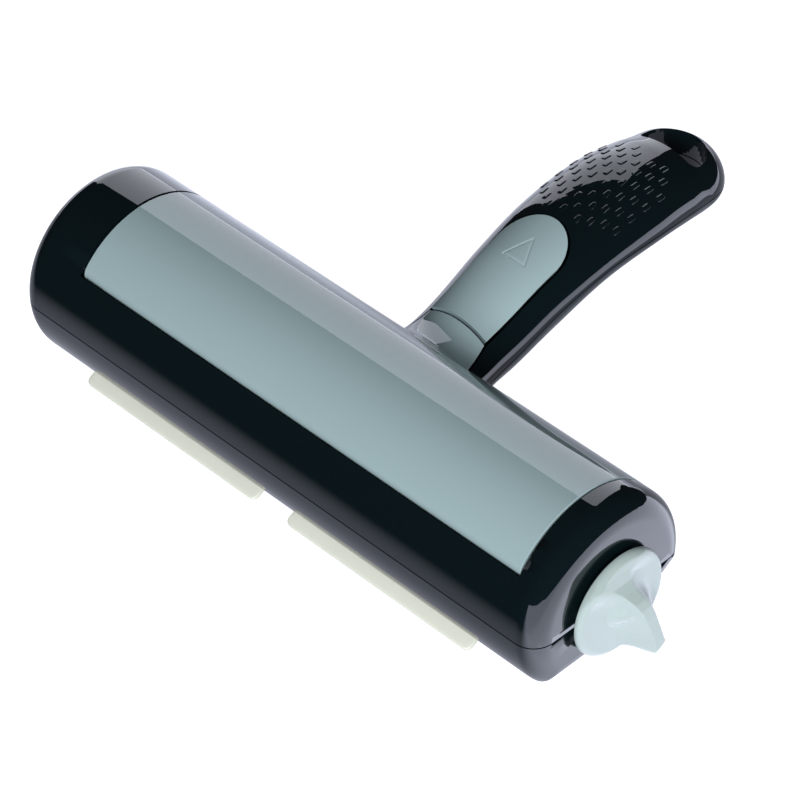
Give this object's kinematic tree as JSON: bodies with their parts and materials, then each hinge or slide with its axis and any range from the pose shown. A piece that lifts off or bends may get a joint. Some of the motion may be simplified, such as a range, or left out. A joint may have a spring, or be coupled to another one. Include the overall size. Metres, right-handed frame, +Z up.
{
  "type": "lint roller",
  "caption": "Self-cleaning pet-hair lint roller: a fabric drum in a two-shell barrel with a hinged bin lid, end knob, rubber strips and a curved handle.",
  "frame": {"origin": "centre of the barrel's plain end face, on the barrel's axis, which is the drum's axis", "axes": "+X along the barrel towards the knob, +Y out along the handle, +Z up through the lid"},
  "size_m": [0.2018, 0.1611, 0.0497],
  "materials": {
    "casing_gloss": "high gloss moulded ABS, blue-black",
    "sage_gloss": "gloss moulded ABS, grey-green",
    "knob_mint": "satin translucent moulded plastic, pale mint",
    "strip_rubber": "soft matt elastomer, pale cream-green",
    "pad_fabric": "short directional nap",
    "inner_plastic": "plain moulded plastic, fine texture",
    "bush_nylon": "natural nylon",
    "steel": "bright drawn steel",
    "spring_steel": "spring wire",
    "zinc_screw": "zinc plated"
  },
  "bodies": {
    "casing": {"casing_upper": "casing_gloss", "casing_lower": "casing_gloss", "lid_hinge_pin_left": "steel", "lid_hinge_pin_right": "steel", "lid_spring": "spring_steel", "button_pivot_pin": "steel", "button_spring": "spring_steel", "axle_bush_left": "bush_nylon", "axle_bush_right": "bush_nylon", "drum_stop_pin": "steel", "wiper_front": "strip_rubber", "wiper_rear": "strip_rubber", "strip_left": "strip_rubber", "strip_right": "strip_rubber", "casing_screws": "zinc_screw"},
    "lid": {"bin_lid": "sage_gloss"},
    "button": {"release_button": "sage_gloss"},
    "drum": {"drum_core": "inner_plastic", "drum_pad_front": "pad_fabric", "drum_pad_rear": "pad_fabric", "drum_hub_left": "inner_plastic", "drum_hub_right": "inner_plastic", "drum_axle": "steel", "axle_clip": "spring_steel", "knob": "knob_mint", "knob_washer": "bush_nylon"}
  },
  "joints": [
    {"name": "lid_hinge", "type": "hinge", "parent": "casing", "child": "lid", "pos_m": [0.1, -0.0201, 0.01537], "axis": [1, 0, 0], "range_deg": [0, 50]},
    {"name": "button_press", "type": "hinge", "parent": "casing", "child": "button", "pos_m": [0.1, 0.052, 0.0112], "axis": [-1, 0, 0], "range_deg": [0, 3.5], "stiffness_Nm_per_rad": 0.3, "springref_deg": -2.86, "deforming": ["button_spring"]},
    {"name": "drum_turn", "type": "hinge", "parent": "casing", "child": "drum", "pos_m": [0.095, 0, 0], "axis": [1, 0, 0], "range_deg": [-38, 38]}
  ]
}
